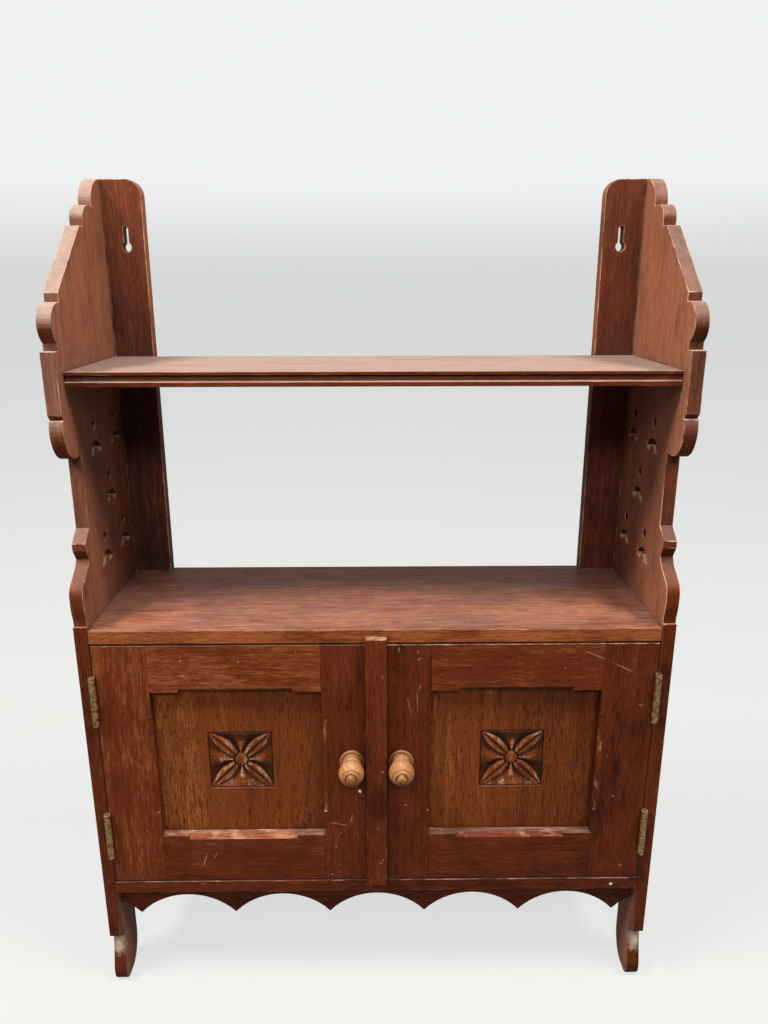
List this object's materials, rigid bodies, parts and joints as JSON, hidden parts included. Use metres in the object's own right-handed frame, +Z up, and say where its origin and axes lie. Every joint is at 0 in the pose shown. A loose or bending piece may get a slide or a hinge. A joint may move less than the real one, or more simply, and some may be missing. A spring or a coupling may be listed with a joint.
{
  "type": "spice cabinet",
  "caption": "Wooden hanging cabinet with shaped, pierced sides, an open moulded shelf and a cupboard with two panelled doors below.",
  "frame": {"origin": "on the floor under the feet, at the middle of the overall box, knobs included", "axes": "+Z up, -Y out of the doors towards the user, +Y towards the wall, +X to the right seen from the front"},
  "size_m": [0.55, 0.204, 0.802],
  "materials": {
    "mahogany": "reddish-brown stain under satin varnish",
    "stained_oak": "golden-brown stain, open pores",
    "beech": "clear gloss varnish",
    "plywood": "plain",
    "brass": "aged",
    "steel": "dull"
  },
  "bodies": {
    "carcass": {"apron": "mahogany", "back_panel": "plywood", "bottom_board": "mahogany", "counter": "mahogany", "door_stop": "mahogany", "left_back_stile": "mahogany", "left_lower_hinge_frame_leaf": "brass", "left_lower_hinge_frame_leaf_screw_1": "brass", "left_lower_hinge_frame_leaf_screw_2": "brass", "left_lower_hinge_pin": "steel", "left_side": "mahogany", "left_upper_hinge_frame_leaf": "brass", "left_upper_hinge_frame_leaf_screw_1": "brass", "left_upper_hinge_frame_leaf_screw_2": "brass", "left_upper_hinge_pin": "steel", "right_back_stile": "mahogany", "right_lower_hinge_frame_leaf": "brass", "right_lower_hinge_frame_leaf_screw_1": "brass", "right_lower_hinge_frame_leaf_screw_2": "brass", "right_lower_hinge_pin": "steel", "right_side": "mahogany", "right_upper_hinge_frame_leaf": "brass", "right_upper_hinge_frame_leaf_screw_1": "brass", "right_upper_hinge_frame_leaf_screw_2": "brass", "right_upper_hinge_pin": "steel", "shelf": "mahogany"},
    "right_door": {"cover_strip": "mahogany", "cover_strip_nail_1": "steel", "cover_strip_nail_2": "steel", "cover_strip_nail_3": "steel", "right_door_bottom_rail": "mahogany", "right_door_hinge_stile": "mahogany", "right_door_knob": "beech", "right_door_knob_screw": "steel", "right_door_meeting_stile": "mahogany", "right_door_panel": "stained_oak", "right_door_top_rail": "mahogany", "right_lower_hinge_door_leaf": "brass", "right_lower_hinge_door_leaf_screw_1": "brass", "right_lower_hinge_door_leaf_screw_2": "brass", "right_upper_hinge_door_leaf": "brass", "right_upper_hinge_door_leaf_screw_1": "brass", "right_upper_hinge_door_leaf_screw_2": "brass"},
    "left_door": {"left_door_bottom_rail": "mahogany", "left_door_hinge_stile": "mahogany", "left_door_knob": "beech", "left_door_knob_screw": "steel", "left_door_meeting_stile": "mahogany", "left_door_panel": "stained_oak", "left_door_top_rail": "mahogany", "left_lower_hinge_door_leaf": "brass", "left_lower_hinge_door_leaf_screw_1": "brass", "left_lower_hinge_door_leaf_screw_2": "brass", "left_upper_hinge_door_leaf": "brass", "left_upper_hinge_door_leaf_screw_1": "brass", "left_upper_hinge_door_leaf_screw_2": "brass"}
  },
  "joints": [
    {"name": "right_door_swing", "type": "hinge", "parent": "carcass", "child": "right_door", "pos_m": [0.262, -0.0695, 0.26], "axis": [0, 0, 1], "range_deg": [0, 180]},
    {"name": "left_door_swing", "type": "hinge", "parent": "carcass", "child": "left_door", "pos_m": [-0.262, -0.0695, 0.26], "axis": [0, 0, 1], "range_deg": [-180, 0]}
  ],
  "couplings": [
    {"joint": "left_door_swing", "follows": "right_door_swing", "ratio": -1}
  ]
}
